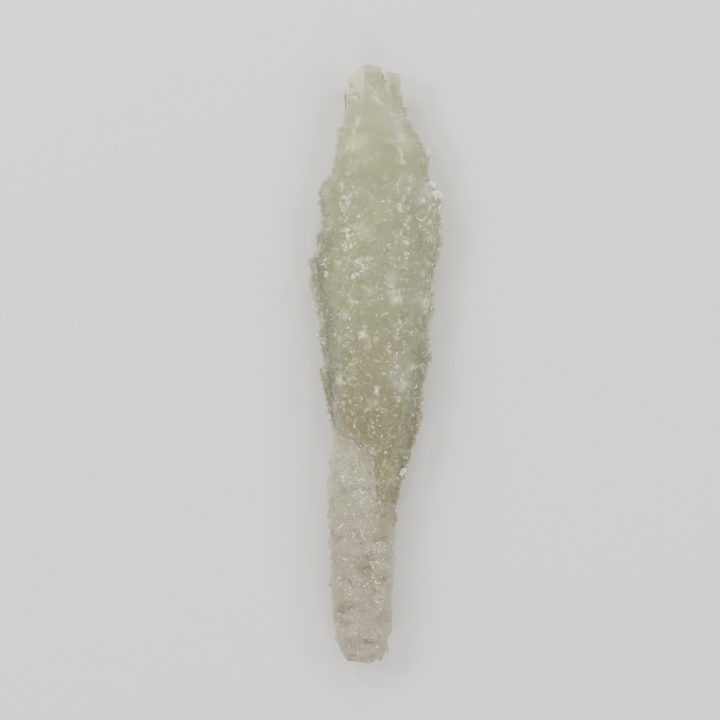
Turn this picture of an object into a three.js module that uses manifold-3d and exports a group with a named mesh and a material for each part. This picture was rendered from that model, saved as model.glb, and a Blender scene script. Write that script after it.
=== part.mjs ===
// Feather calcite: a flat, leaf-shaped sheaf of nail-head calcite crystals that grew side by side up a
// central rib, on a stalk under a lumpy crust of sugar-fine crystals. It is one intergrown piece and lies
// on its back.
//
// Units are millimetres. +Y runs along the growth, from the stalk's end to the tip. +X is the leaf's right
// side and +Z points out of its front. It rests on z = 0, and the origin is under the middle of its length
// and width.
import * as THREE from "three";
import { ConvexGeometry } from "three/addons/geometries/ConvexGeometry.js";
import { LoftGeometry } from "three/addons/geometries/LoftGeometry.js";
import { mergeVertices } from "three/addons/utils/BufferGeometryUtils.js";
import Module from "manifold-3d";

const wasm = await Module();
wasm.setup();

// Driving dimensions.
const LENGTH = 200; // from the stalk's end to the tip
const CAP_SLOPE = 28; // degrees between a nail-head face and the crystal's base plane
const LEVEL = 10.8; // height of the tip's middle above the resting surface
const PALE_GREEN = 0xb1b19c;

// The central rib that the crystals grow from: the stalk, then the thick middle of the leaf.
// Each cross-section is [height, left, right, back, front, squareness]. Squareness 2 is an ellipse.
const RIB = [
  [0.6, -7.6, -1.6, 6.6, 11.6, 2.0],
  [1.8, -9.8, 1.2, 4.6, 13.4, 2.0],
  [5, -12.0, 3.9, 2.4, 15.6, 2.1],
  [12, -13.6, 5.6, 0.2, 17.0, 2.2],
  [27, -14.4, 6.4, -0.6, 17.8, 2.3],
  [41, -15.0, 6.9, -0.6, 18.2, 2.3],
  [53, -15.4, 7.3, 0.2, 18.6, 2.3],
  [62, -15.0, 7.8, 0.5, 19.2, 2.3],
  [70, -14.4, 8.8, 0.5, 19.9, 2.4],
  [78, -13.2, 10.6, 0.5, 20.7, 2.5],
  [88, -12.8, 12.0, 0.5, 21.5, 2.6],
  [104, -13.2, 13.2, 0.5, 22.0, 2.6],
  [122, -13.6, 14.4, 0.5, 21.8, 2.6],
  [140, -14.2, 15.4, 1.0, 21.0, 2.6],
  [154, -14.8, 15.8, 1.8, 19.8, 2.5],
  [163, -12.8, 15.4, 2.6, 18.8, 2.5],
  [172, -11.8, 14.4, 3.4, 17.8, 2.6],
  [182, -9.8, 10.0, 4.6, 16.6, 2.8],
  [190, -9.0, 8.0, 5.6, 15.4, 3.0],
  [193, -8.0, 6.8, 6.2, 14.8, 3.0],
];
// The thinner vanes that spread out of both sides of the rib, given the same way.
const VANES = [
  [60, -12.0, 7.0, 5.8, 14.2, 2.6],
  [66, -12.6, 9.6, 5.6, 14.8, 2.6],
  [76, -12.8, 12.4, 5.4, 15.4, 2.6],
  [84, -14.4, 14.8, 5.4, 15.8, 2.6],
  [96, -15.8, 16.4, 5.2, 16.2, 2.6],
  [112, -17.4, 17.4, 5.2, 16.4, 2.6],
  [130, -20.0, 19.0, 5.2, 16.4, 2.6],
  [136, -19.8, 20.0, 5.2, 16.4, 2.6],
  [144, -17.6, 20.8, 5.4, 16.2, 2.6],
  [156, -17.8, 21.0, 5.6, 16.0, 2.6],
  [162, -13.6, 17.6, 5.8, 15.8, 2.6],
  [171, -12.4, 17.0, 6.2, 15.4, 2.6],
  [179, -11.0, 12.6, 6.8, 14.8, 2.6],
];
const RIB_SIDES = 20; // points around each cross-section of the rib
const VANE_SIDES = 12;
const STALK_TOP = 76; // height at which the stalk's lumpy crust ends
const STALK_STEP = 3.8; // between the cross-sections of the lumpy stalk
const LEAF_STEP = 10; // between the cross-sections of the leaf

// Hollows in the stalk's crust: [x, height, face, radius, depth], where face 1 is the front and -1 the back.
const HOLLOWS = [
  [-2.2, 31, 1, 4.6, 1.4],
  [-9.4, 20, 1, 3.6, 1.1],
  [-12.0, 34, 1, 3.0, 0.9],
  [2.0, 15, 1, 3.4, 0.9],
  [-6.0, 46, 1, 3.6, 0.6],
  [-8.6, 58, -1, 4.5, 1.0],
  [1.4, 14, -1, 3.8, 0.9],
];
const LUMP_DEPTH = 0.5; // of the crust's rolling lumps

// The saw teeth of the outline: [height, reach from the middle line, the crystal's half width, lean in degrees].
const LEFT_TEETH = [
  [190.0, 10.4, 3.6, 1],
  [178.6, 12.6, 3.6, 6],
  [174.0, 12.7, 2.6, 1],
  [169.2, 13.7, 2.6, 3],
  [165.2, 14.2, 2.4, 3],
  [160.2, 17.9, 3.0, 14],
  [157.4, 19.1, 2.6, 20],
  [154.4, 18.9, 2.2, 22],
  [151.4, 18.2, 2.0, 18],
  [147.6, 18.1, 2.2, 16],
  [142.6, 19.8, 3.0, 22],
  [134.2, 22.3, 3.6, 24],
  [129.2, 21.7, 2.8, 22],
  [125.2, 20.2, 2.0, 18],
  [122.0, 19.4, 1.8, 16],
  [118.0, 19.0, 1.8, 14],
  [114.4, 18.3, 1.6, 14],
  [110.6, 18.9, 2.6, 20],
  [105.0, 17.7, 2.0, 16],
  [98.5, 18.4, 3.0, 22],
  [94.3, 16.7, 1.8, 16],
  [91.7, 16.5, 1.6, 20],
  [87.2, 16.1, 1.8, 20],
  [84.7, 15.6, 1.4, 18],
  [82.5, 15.0, 1.4, 18],
  [79.6, 13.8, 1.3, 16],
];
const RIGHT_TEETH = [
  [189.8, 9.8, 2.4, 3],
  [185.6, 11.2, 2.0, 4],
  [180.8, 13.5, 4.4, 2],
  [176.8, 15.0, 2.6, 2],
  [173.6, 16.8, 2.6, 6],
  [170.7, 19.0, 3.2, 9],
  [162.8, 18.4, 2.2, 6],
  [159.9, 20.6, 2.8, 8],
  [156.0, 23.1, 3.8, 14],
  [147.1, 22.5, 2.6, 18],
  [141.1, 23.3, 3.0, 24],
  [133.1, 21.3, 2.0, 20],
  [130.2, 20.3, 1.8, 16],
  [123.5, 20.6, 2.4, 14],
  [120.8, 20.4, 1.8, 14],
  [117.0, 19.6, 2.4, 24],
  [109.6, 19.2, 2.4, 18],
  [105.9, 19.6, 2.0, 18],
  [102.4, 19.8, 2.4, 26],
  [97.2, 17.8, 1.8, 18],
  [93.9, 16.8, 1.6, 18],
  [90.6, 16.6, 1.6, 16],
  [88.2, 16.6, 1.8, 18],
  [83.6, 16.2, 2.2, 16],
  [79.3, 15.2, 1.8, 20],
  [75.5, 13.7, 1.8, 20],
  [70.8, 12.5, 1.6, 20],
  [67.0, 11.2, 1.6, 18],
  [63.1, 9.9, 1.6, 20],
  [57.5, 8.5, 1.4, 14],
];
const PAIRED_FROM = 2.5; // teeth at least this wide have a smaller crystal grown against them

// The blocky crystals that end the leaf: [height of the capped side's edge, x of that side, half width].
const TIP_CRYSTALS = [
  [LENGTH - 2.9, -8.9, 5.85],
  [195.7, 1.6, 3.5],
];
const TIP_FLATNESS = 0.78; // depth of these two over their width

// The broad crystals of the upper third's front: [x, height of the upper edge, half width, step out].
const FRONT_BLOCKS = [
  [-6.6, 188.7, 2.4, 0.6],
  [0.6, 187, 3.4, 0.4],
  [8.4, 182.3, 4.2, 0.9],
  [-4.6, 179.5, 4.4, 0.5],
  [12.2, 174.5, 3.0, 0.9],
  [2.4, 173.5, 4.6, 0.5],
  [-8.2, 171, 3.6, 0.7],
  [8.8, 166.5, 4.2, 0.5],
  [-2.6, 165, 4.8, 0.5],
  [-11.4, 160.6, 3.2, 0.9],
  [13.8, 159.6, 3.4, 0.7],
  [4.8, 158, 4.2, 0.5],
];
// Rows of low crystals on the faces below them: [height, half width, crystals in the row, lean, step].
const FACE_ROWS = [
  [150, 4.0, 4, 6, 0.6],
  [140, 3.8, 4, 7, 0.6],
  [130, 3.7, 4, 8, 0.7],
  [120.5, 3.5, 4, 9, 0.7],
  [111.5, 3.4, 4, 9, 0.7],
  [103, 3.2, 4, 10, 0.7],
  [95, 3.0, 4, 11, 0.7],
  [88, 2.8, 4, 11, 0.7],
  [81.5, 2.6, 4, 12, 0.7],
  [75.5, 2.4, 3, 12, 0.7],
];
const BACK_ROWS = [
  [184, 4.0, 2, 3, 0.5],
  [172, 4.4, 2, 4, 0.6],
  [160, 4.4, 3, 5, 0.6],
];
const ROW_REACH = 0.86; // how far a row spreads towards the edges

// Crystals that stand out of the stalk's crust.
const STALK_CRYSTALS = 13;

// Broad crystals on the leaf's back whose sides lie in the resting surface:
// [x, height of the upper edge, half width, length].
const RESTS = [
  [-5.4, 122, 3.6, 20],
  [6.2, 117, 3.6, 18],
];

const SEED = 7;

// A repeatable random number from 0 to 1 at each call.
function randomFrom(seed) {
  let state = seed >>> 0;
  return () => {
    state = (state + 0x6d2b79f5) >>> 0;
    let t = Math.imul(state ^ (state >>> 15), 1 | state);
    t = (t + Math.imul(t ^ (t >>> 7), 61 | t)) ^ t;
    return ((t ^ (t >>> 14)) >>> 0) / 4294967296;
  };
}
const random = randomFrom(SEED);
const jitter = (size) => size * (2 * random() - 1);
const radians = THREE.MathUtils.degToRad;
const point = (x, y, z) => new THREE.Vector3(x, y, z);

// The cross-section at a height, between the two nearest listed ones.
function sectionAt(stations, height) {
  const last = stations.length - 1;
  const y = THREE.MathUtils.clamp(height, stations[0][0], stations[last][0]);
  const upper = Math.max(1, stations.findIndex((station) => station[0] >= y));
  const [a, b] = [stations[upper - 1], stations[upper]];
  const share = (y - a[0]) / (b[0] - a[0]);
  const between = a.map((value, i) => THREE.MathUtils.lerp(value, b[i], share));
  const [, left, right, back, front, squareness] = between;
  return { y, left, right, back, front, squareness };
}

// A point on that outline. Angle 0 is the right edge, 90 degrees the front, 180 the left edge and 270 the back.
function outlinePoint(stations, height, angle) {
  const s = sectionAt(stations, height);
  const round = 2 / s.squareness;
  const across = Math.sign(Math.cos(angle)) * Math.abs(Math.cos(angle)) ** round;
  const depth = Math.sign(Math.sin(angle)) * Math.abs(Math.sin(angle)) ** round;
  const x = (s.left + s.right + across * (s.right - s.left)) / 2;
  return point(x, s.y, (s.back + s.front + depth * (s.front - s.back)) / 2);
}

// The direction straight out of the outline there, level with the cross-section.
function outwardAt(stations, height, angle) {
  const step = 0.02;
  const [before, after] = [angle - step, angle + step].map((turn) => outlinePoint(stations, height, turn));
  return point(after.z - before.z, 0, before.x - after.x).normalize();
}

// How far the crust's lumps and hollows move the stalk's surface in, at a point of it.
function crustDepth(at) {
  const fade = THREE.MathUtils.smoothstep(STALK_TOP - at.y, 0, 10);
  const roll =
    Math.sin(0.83 * at.x + 0.61 * at.y) +
    Math.sin(0.52 * at.z - 0.94 * at.y + 1.7) +
    Math.sin(1.13 * at.x - 0.74 * at.z + 0.35 * at.y + 0.6);
  const dents = HOLLOWS.reduce((sum, [x, y, face, radius, depth]) => {
    const facing = (at.z - LEVEL) * face > 0;
    const away = Math.hypot(at.x - x, at.y - y) / radius;
    return sum + (facing ? depth * Math.exp(-2 * away * away) : 0);
  }, 0);
  return fade * ((LUMP_DEPTH * (roll + 1)) / 2 + dents);
}

// A point on the front (face 1) or back (face -1) of the leaf, on the outermost of the rib and the vanes.
function facePoint(x, y, face) {
  const depths = [RIB, VANES].map((stations) => {
    const s = sectionAt(stations, y);
    const away = Math.abs((2 * x - s.left - s.right) / (s.right - s.left));
    const bulge = away < 1 ? (1 - away ** s.squareness) ** (1 / s.squareness) : 0;
    return face * ((s.back + s.front + face * bulge * (s.front - s.back)) / 2);
  });
  return point(x, y, face * Math.max(...depths));
}

// The direction straight out of that face.
function faceOutward(x, y, face) {
  const step = 0.6;
  const across = facePoint(x + step, y, face).sub(facePoint(x - step, y, face));
  return point(-across.z, 0, across.x).multiplyScalar(face).normalize();
}

// A closed geometry as a manifold-3d solid.
function solidOf(geometry) {
  const bare = new THREE.BufferGeometry().setAttribute("position", geometry.getAttribute("position"));
  const merged = mergeVertices(bare.setIndex(geometry.index), 1e-4);
  return new wasm.Manifold(
    new wasm.Mesh({
      numProp: 3,
      vertProperties: merged.attributes.position.array,
      triVerts: new Uint32Array(merged.index.array),
    }),
  );
}

// The corners of the convex shape inside the planes, each given as { normal, distance }.
function cornersInside(planes) {
  const corners = [];
  for (let i = 0; i < planes.length; i++)
    for (let j = i + 1; j < planes.length; j++)
      for (let k = j + 1; k < planes.length; k++) {
        const [a, b, c] = [planes[i].normal, planes[j].normal, planes[k].normal];
        const matrix = new THREE.Matrix3(a.x, a.y, a.z, b.x, b.y, b.z, c.x, c.y, c.z);
        if (Math.abs(matrix.determinant()) < 1e-6) continue;
        const distances = point(planes[i].distance, planes[j].distance, planes[k].distance);
        const corner = distances.applyMatrix3(matrix.invert());
        if (planes.every((p) => p.normal.dot(corner) < p.distance + 1e-6)) corners.push(corner);
      }
  return corners;
}

// A six-sided calcite prism under a three-faced nail-head cap. In its own frame the prism runs along +Y, one
// capped side faces +X, and the edge between that side and its cap face is at height 0.
function nailHead(halfWidth, length, slope = CAP_SLOPE) {
  const planes = [{ normal: point(0, -1, 0), distance: length }];
  for (let side = 0; side < 6; side++) {
    const angle = (side * Math.PI) / 3;
    planes.push({
      normal: point(Math.cos(angle), 0, Math.sin(angle)),
      distance: halfWidth * (side ? 1 + jitter(0.1) : 1),
    });
  }
  const [rise, run] = [Math.cos(radians(slope)), Math.sin(radians(slope))];
  for (let face = 0; face < 3; face++) {
    const angle = (face * 2 * Math.PI) / 3;
    planes.push({
      normal: point(Math.cos(angle) * run, rise, Math.sin(angle) * run),
      distance: halfWidth * run * (face ? 1 + jitter(0.12) : 1),
    });
  }
  return new ConvexGeometry(cornersInside(planes));
}

// A crystal whose outermost edge is at that point. It leans out of the growth direction by that many degrees.
function crystalAt(edge, outward, lean, halfWidth, length, { slope, flatness = 1, twist = 0 } = {}) {
  const out = outward.clone().normalize();
  const growth = point(Math.sin(radians(twist)), Math.cos(radians(twist)), 0);
  const axis = growth.addScaledVector(out, Math.tan(radians(lean))).normalize();
  const side = new THREE.Vector3().crossVectors(out, axis).normalize();
  const face = new THREE.Vector3().crossVectors(axis, side);
  const at = edge.clone().addScaledVector(face, -halfWidth);
  const place = new THREE.Matrix4().makeBasis(face, axis, side).setPosition(at);
  return nailHead(halfWidth, length, slope).scale(1, 1, flatness).applyMatrix4(place);
}

// Heights from one to another, evenly spaced and no farther apart than the step.
function heights(from, to, step) {
  const count = Math.ceil((to - from) / step);
  return Array.from({ length: count }, (_, i) => from + ((to - from) * i) / count);
}

// A loft through the outlines at those heights.
function loft(stations, levels, sides, sunk) {
  const rings = levels.map((height) =>
    Array.from({ length: sides }, (_, i) => {
      const angle = (-2 * Math.PI * (i + 0.5)) / sides;
      const at = outlinePoint(stations, height, angle);
      return at.addScaledVector(outwardAt(stations, height, angle), -sunk(at));
    }),
  );
  return new LoftGeometry(rings, { capStart: true, capEnd: true });
}

function rib() {
  const end = RIB[RIB.length - 1][0];
  const levels = [0.6, 1.8, ...heights(4, STALK_TOP, STALK_STEP), ...heights(STALK_TOP, end, LEAF_STEP), end];
  return loft(RIB, levels, RIB_SIDES, crustDepth);
}

function vanes() {
  const [start, end] = [VANES[0][0], VANES[VANES.length - 1][0]];
  return loft(VANES, [...heights(start, end, LEAF_STEP), end], VANE_SIDES, () => 0);
}

// One saw tooth at each listed place of an edge. The wider ones have a smaller crystal against them.
function teeth(list, sign) {
  return list.flatMap(([height, reach, halfWidth, lean], i) => {
    const depth = LEVEL + jitter(0.9);
    const length = 3 * halfWidth + 4;
    const edge = point(sign * reach, height, depth);
    const tooth = crystalAt(edge, point(sign, 0, 0), lean, halfWidth, length, { flatness: 0.8 });
    if (halfWidth < PAIRED_FROM) return [tooth];
    const face = i % 2 ? 1 : -1;
    const lower = edge.clone().add(point(-sign * (1 + random()), -1 - 2 * random(), 2.8 * face));
    return [tooth, crystalAt(lower, point(sign, 0, 0.8 * face), 0.8 * lean, 0.85 * halfWidth, length)];
  });
}

// The two blocky crystals at the tip, each with its capped side facing left.
function tip() {
  const left = point(-1, 0, 0);
  return TIP_CRYSTALS.map(([height, x, halfWidth]) =>
    crystalAt(point(x, height, LEVEL), left, 0, halfWidth, 4 * halfWidth, { flatness: TIP_FLATNESS }),
  );
}

// A low crystal on the front or back of the leaf.
function lowCrystal(x, y, face, halfWidth, lean, step) {
  const outward = faceOutward(x, y, face);
  const edge = facePoint(x, y, face).addScaledVector(outward, step);
  return crystalAt(edge, outward, lean, halfWidth, 2.4 * halfWidth + 6, { twist: jitter(4) });
}

// The broad crystals and the rows of smaller ones on both faces of the leaf.
function faceCrystals() {
  const blocks = FRONT_BLOCKS.map(([x, y, halfWidth, step]) => lowCrystal(x, y, 1, halfWidth, 3, step));
  const rows = [1, -1].flatMap((face) =>
    [...(face < 0 ? BACK_ROWS : []), ...FACE_ROWS].flatMap(([height, halfWidth, count, lean, step], row) => {
      const [inner, outer] = [sectionAt(RIB, height), sectionAt(VANES, height)];
      const left = ROW_REACH * Math.min(inner.left, outer.left);
      const right = ROW_REACH * Math.max(inner.right, outer.right);
      return Array.from({ length: count }, (_, i) => {
        const share = (i + (row % 2 ? 0.2 : 0.8)) / count;
        const x = THREE.MathUtils.lerp(left, right, share) + jitter(0.5);
        const y = height + jitter(2.6);
        const [width, tilt, out] = [[halfWidth, 0.25], [lean, 0.3], [step, 0.5]].map(
          ([size, spread]) => size * (1 + jitter(spread)),
        );
        return lowCrystal(x, y, face, width, tilt, out);
      });
    }),
  );
  return [...blocks, ...rows];
}

// The small crystals that stand out of the stalk's crust.
function stalkCrystals() {
  return Array.from({ length: STALK_CRYSTALS }, (_, i) => {
    const height = 3 + ((STALK_TOP - 6) * (i + random())) / STALK_CRYSTALS;
    const angle = i * radians(137.5) + jitter(0.4);
    const outward = outwardAt(RIB, height, angle);
    const edge = outlinePoint(RIB, height, angle).addScaledVector(outward, 0.3 + 0.3 * random());
    const lean = 20 + jitter(8);
    return crystalAt(edge, outward, lean, 0.9 + 0.6 * random(), 4, { slope: 40, twist: jitter(25) });
  });
}

// The crystals that carry the leaf, with a side flat on the resting surface.
function rests() {
  const down = point(0, 0, -1);
  return RESTS.map(([x, height, halfWidth, length]) =>
    crystalAt(point(x, height, 0), down, 0, halfWidth, length),
  );
}

// The space under the resting surface. What reaches into it, such as the stalk's back, is worn off flat.
function belowRest() {
  const size = 2 * LENGTH;
  return solidOf(new THREE.BoxGeometry(size, size, size).translate(0, LENGTH / 2, -size / 2));
}

const grown = [
  rib(),
  vanes(),
  ...teeth(LEFT_TEETH, -1),
  ...teeth(RIGHT_TEETH, 1),
  ...tip(),
  ...faceCrystals(),
  ...stalkCrystals(),
  ...rests(),
].map(solidOf);
const whole = wasm.Manifold.union(grown).subtract(belowRest());
const { numProp, vertProperties, triVerts } = whole.getMesh();
if (numProp !== 3) throw new Error("the solid's vertices hold more than positions");

const geometry = new THREE.BufferGeometry();
geometry.setAttribute("position", new THREE.BufferAttribute(vertProperties, 3));
geometry.setIndex(new THREE.BufferAttribute(triVerts, 1));
geometry.computeBoundingBox();
const middle = geometry.boundingBox.getCenter(new THREE.Vector3());
geometry.translate(-middle.x, -middle.y, 0);
geometry.computeVertexNormals();

const calcite = new THREE.MeshStandardMaterial({ color: PALE_GREEN, roughness: 0.35, metalness: 0 });
calcite.flatShading = true;
calcite.name = "pale green calcite";
const crystal = new THREE.Mesh(geometry, calcite);
crystal.name = "feather_calcite";

const part = new THREE.Group();
part.name = "feather calcite";
part.add(crystal);
export default part;
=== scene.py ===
"""The looks of a feather calcite: a leaf-shaped sheaf of nail-head crystals on a stalk crusted with sugar-fine ones.

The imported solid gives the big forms. The leaf is that solid with well over a thousand small crystals grown into it, and
the stalk is a lumpy core under a druse. All lengths are metres, but for those whose name says mm. The growth direction
is +Y, and the specimen lies on its back with its front up.
"""

import functools
import itertools
import math

import bmesh
import bpy
import numpy as np
from bpy.props import FloatProperty, FloatVectorProperty, PointerProperty
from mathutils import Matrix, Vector, kdtree, noise
from mathutils.bvhtree import BVHTree


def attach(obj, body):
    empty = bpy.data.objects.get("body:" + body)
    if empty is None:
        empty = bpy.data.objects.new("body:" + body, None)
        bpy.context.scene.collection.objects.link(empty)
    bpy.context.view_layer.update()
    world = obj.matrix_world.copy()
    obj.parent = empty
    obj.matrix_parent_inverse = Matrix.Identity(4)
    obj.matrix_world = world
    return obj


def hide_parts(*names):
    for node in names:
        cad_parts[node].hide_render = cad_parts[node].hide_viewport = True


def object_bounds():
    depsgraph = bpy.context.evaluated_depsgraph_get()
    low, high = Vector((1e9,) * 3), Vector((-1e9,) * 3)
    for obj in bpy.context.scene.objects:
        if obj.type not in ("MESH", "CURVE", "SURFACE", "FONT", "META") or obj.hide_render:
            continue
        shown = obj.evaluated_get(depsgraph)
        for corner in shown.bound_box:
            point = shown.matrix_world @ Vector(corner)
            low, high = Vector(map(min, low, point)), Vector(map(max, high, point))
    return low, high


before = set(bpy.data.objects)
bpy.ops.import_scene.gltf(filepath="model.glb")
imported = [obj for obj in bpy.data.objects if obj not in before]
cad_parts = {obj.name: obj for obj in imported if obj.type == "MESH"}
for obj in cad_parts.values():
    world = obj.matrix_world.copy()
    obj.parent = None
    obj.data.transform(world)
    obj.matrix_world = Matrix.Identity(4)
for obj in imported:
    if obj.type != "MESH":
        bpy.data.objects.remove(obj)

bl_info = {
    "name": "Feather calcite",
    "version": (1, 0, 0),
    "blender": (4, 5, 0),
    "location": "View3D > Sidebar > Calcite",
    "description": "Grows a feather calcite's crystals and druse over its solid core",
    "category": "Add Mesh",
}

NODE = "feather_calcite"
MM = 0.001
CORE_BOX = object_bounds()
SEED = 11

GROWTH = np.array([0.0, 1.0, 0.0])

# Where, along y, the leaf's crystals and its body begin under the crust, and the stalk ends inside the leaf.
LEAF_FROM, BODY_FROM, STALK_TO = -0.060, -0.058, -0.017
# What is cut off the solid's flat back, so that the body's uneven one shows.
BACK_CUT = 1.2 * MM
# What is kept free over the plane that the pieces rest on, and how far the floor lies under that plane.
REST_GAP = 0.02 * MM
FLOOR_GAP = 0.0002
# The left shoulder of the crystal at the tip, as x and y.
SHOULDER = (-0.014, 0.0925)


def linear(hex_colour):
    """An sRGB hex colour as linear red, green and blue."""
    channels = [int(hex_colour[i : i + 2], 16) / 255 for i in (1, 3, 5)]
    return [c / 12.92 if c <= 0.04045 else ((c + 0.055) / 1.055) ** 2.4 for c in channels]


def colour(name, description, hex_colour):
    return FloatVectorProperty(
        name=name, description=description, default=linear(hex_colour), subtype="COLOR", min=0, max=1
    )


def length(name, description, millimetres):
    return FloatProperty(
        name=name, description=description, default=millimetres * MM, subtype="DISTANCE", unit="LENGTH", precision=5
    )


def angle(name, description, degrees):
    return FloatProperty(
        name=name, description=description, default=math.radians(degrees), subtype="ANGLE", unit="ROTATION"
    )


class LeafSettings(bpy.types.PropertyGroup):
    spacing_top: length("Spacing at the tip", "Between the small crystals of the leaf's smooth upper third", 5.0)
    spacing_middle: length("Spacing in the middle", "Between the small crystals of the leaf's middle", 2.1)
    spacing_foot: length("Spacing at the foot", "Between the small crystals at the leaf's foot", 1.45)
    stand_out: length("Stand out", "How far a small crystal's upper edge stands out of the leaf", 0.16)
    grain_tip: length("Grain at the tip", "Between the finest points of the leaf's upper third", 1.6)
    grain_foot: length("Grain at the foot", "Between the finest points of the leaf's foot", 0.95)
    rim_spacing: length("Rim spacing", "Between the small crystals along the leaf's edges", 1.6)
    rim_stand_out: length("Rim stand out", "How far the small crystals along the edges stand out", 0.45)
    lean_least: angle("Least lean", "The least that a small crystal leans out of the growth direction", 12)
    lean_most: angle("Most lean", "The most that a small crystal leans out of the growth direction", 48)
    tip: colour("Tip", "Calcite at the tip of the leaf", "#a5a584")
    body: colour("Body", "Calcite in the middle of the leaf", "#959575")
    cloud: colour("Clouds", "What the greener clouds inside the leaf leave of its colour", "#edf6e9")
    foot: colour("Foot", "Olive calcite at the foot of the leaf", "#837c5f")
    # Painted glints: the pale colour of the specks that stand in for light caught by small cracks and faces.
    painted_glint: colour("Flecks", "Small cracks and faces inside the leaf that catch the light", "#dfdcc0")
    cream: colour("Cream", "The cream patches inside the leaf", "#bdbb8e")
    veil: colour("Veil", "The blue-white veils inside the leaf", "#b0b1a4")
    # Painted shade: the thinner bands inside the leaf's edges are painted darker than the rib.
    thin_band_shade: colour("Thin", "The clearer bands inside the leaf's edges", "#7a7c64")
    # Painted rim highlight and clear margins: this pale colour lightens the leaf's rims, most where they face up, and
    # a little of the larger face crystals as a painted highlight.
    clear: colour("Clear", "The clear margins of the crystals", "#bec2bb")
    crust: colour("Crust", "The leaf's calcite where it runs out under the stalk's crust", "#a6a68f")


class DruseSettings(bpy.types.PropertyGroup):
    grain: length("Grain", "Between the sugar-fine crystals of the stalk", 0.62)
    lumps: length("Lumps", "The height of the crust's lumps over the creases between them", 1.8)
    steepness: FloatProperty(
        name="Steepness", description="The height of the crystals' points over their width", default=0.24, min=0
    )
    thickness: length("Thickness", "How far the druse stands out of the core", 0.10)
    rim_spacing: length("Rim spacing", "Between the small crystals along the stalk's edges", 1.1)
    rim_stand_out: length("Rim stand out", "How far the small crystals along the edges stand out", 0.45)
    white: colour("White", "The sugar-white crust", "#aaa78f")
    # Painted rim highlight: this pale colour lightens the crust along its outline, as seen from the front.
    edge: colour("Edge", "The clearer crystals along the stalk's edges", "#bdbcb0")
    # A darker brown for the crust's creases and some spots.
    hollow: colour("Hollow", "The brownish calcite in the crust's hollows", "#887c65")
    lower: colour("Lower", "The crust towards the stalk's lower end", "#a09786")


class StageSettings(bpy.types.PropertyGroup):
    floor: colour("Floor", "The plain floor", "#deddda")
    lens: FloatProperty(name="Lens", description="The camera's focal length", default=85, subtype="DISTANCE_CAMERA")
    across: length("Across", "How much of the object's plane the picture takes in", 240)


# ---------------------------------------------------------------- crystals


def convex_form(planes):
    """The corners and triangles of the convex form inside planes, each given as (normal, distance)."""
    normals = np.array([p[0] for p in planes], float)
    distances = np.array([p[1] for p in planes], float)
    corners = []
    for triple in itertools.combinations(range(len(planes)), 3):
        meeting = normals[list(triple)]
        if abs(np.linalg.det(meeting)) < 1e-6:
            continue
        corner = np.linalg.solve(meeting, distances[list(triple)])
        if (normals @ corner < distances + 1e-6).all():
            corners.append(corner)
    form = bmesh.new()
    for corner in corners:
        form.verts.new(corner)
    bmesh.ops.remove_doubles(form, verts=form.verts, dist=1e-5)
    bmesh.ops.convex_hull(form, input=form.verts)
    bmesh.ops.triangulate(form, faces=form.faces)
    form.verts.index_update()
    points = np.array([v.co for v in form.verts])
    triangles = np.array([[v.index for v in f.verts] for f in form.faces])
    form.free()
    return points, triangles


def nail_head(slope, taper, uneven, depth=1.6):
    """A six-sided prism one unit from axis to side, under a three-faced cap, with a capped side facing +X.

    Its axis is +Y and that side's upper edge is at height 0. The sides draw in by taper, downwards.
    """
    planes = [((0, -1, 0), depth)]
    for side in range(6):
        turn = math.radians(60 * side)
        normal = (math.cos(turn) * math.cos(taper), -math.sin(taper), math.sin(turn) * math.cos(taper))
        planes.append((normal, math.cos(taper) * (1 + uneven[side])))
    for face in range(3):
        turn = math.radians(120 * face)
        normal = (math.cos(turn) * math.sin(slope), math.cos(slope), math.sin(turn) * math.sin(slope))
        planes.append((normal, math.sin(slope) * (1 + uneven[6 + face])))
    return convex_form(planes)


def crystal_forms(rng):
    """A few forms that the small crystals are copies of: blunt, steep and uneven nail heads."""
    forms = []
    for slope, taper in ((28, 0), (28, 5), (36, 8), (44, 10), (30, 3), (40, 12)):
        uneven = rng.uniform(-0.16, 0.16, 9)
        uneven[0] = 0
        forms.append(nail_head(math.radians(slope), math.radians(taper), uneven))
    return forms


def linked(name, data):
    """A new object of the data, in the scene."""
    made = bpy.data.objects.new(name, data)
    bpy.context.scene.collection.objects.link(made)
    return made


def mesh_object(name, points, triangles):
    mesh = bpy.data.meshes.new(name)
    mesh.from_pydata(points.tolist(), [], triangles.tolist())
    mesh.update()
    return linked(name, mesh)


def apply_modifiers(piece):
    """Makes the piece's mesh what its modifiers give."""
    shown = piece.evaluated_get(bpy.context.evaluated_depsgraph_get())
    old, piece.data = piece.data, bpy.data.meshes.new_from_object(shown)
    piece.modifiers.clear()
    bpy.data.meshes.remove(old)


def combine(piece, other, operation):
    """Joins the other solid to the piece, or cuts the piece by it, and removes the other."""
    before = len(piece.data.polygons)
    cut = piece.modifiers.new("combine", "BOOLEAN")
    cut.operation = operation
    cut.solver = "MANIFOLD"
    cut.object = other
    apply_modifiers(piece)
    if operation == "UNION" and len(piece.data.polygons) == before:
        raise RuntimeError(f"{other.name} didn't join {piece.name}")
    bpy.data.objects.remove(other)


def box_object(low, high):
    form = bmesh.new()
    bmesh.ops.create_cube(form, size=1)
    low, high = Vector(low), Vector(high)
    for v in form.verts:
        v.co = Vector([(low[i] + high[i]) / 2 + v.co[i] * (high[i] - low[i]) for i in range(3)])
    mesh = bpy.data.meshes.new("box")
    form.to_mesh(mesh)
    form.free()
    return linked("box", mesh)


def wide_box(y_from=None, y_to=None, z_from=None):
    """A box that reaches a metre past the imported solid, but for the sides that are given."""
    low, high = CORE_BOX
    return box_object(
        (low.x - 1, low.y - 1 if y_from is None else y_from, low.z - 1 if z_from is None else z_from),
        (high.x + 1, high.y + 1 if y_to is None else y_to, high.z + 1),
    )


def resting_box():
    """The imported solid's box, a hair above the plane that it rests on."""
    low, high = CORE_BOX
    return box_object((low.x, low.y, low.z + REST_GAP), high)


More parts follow.
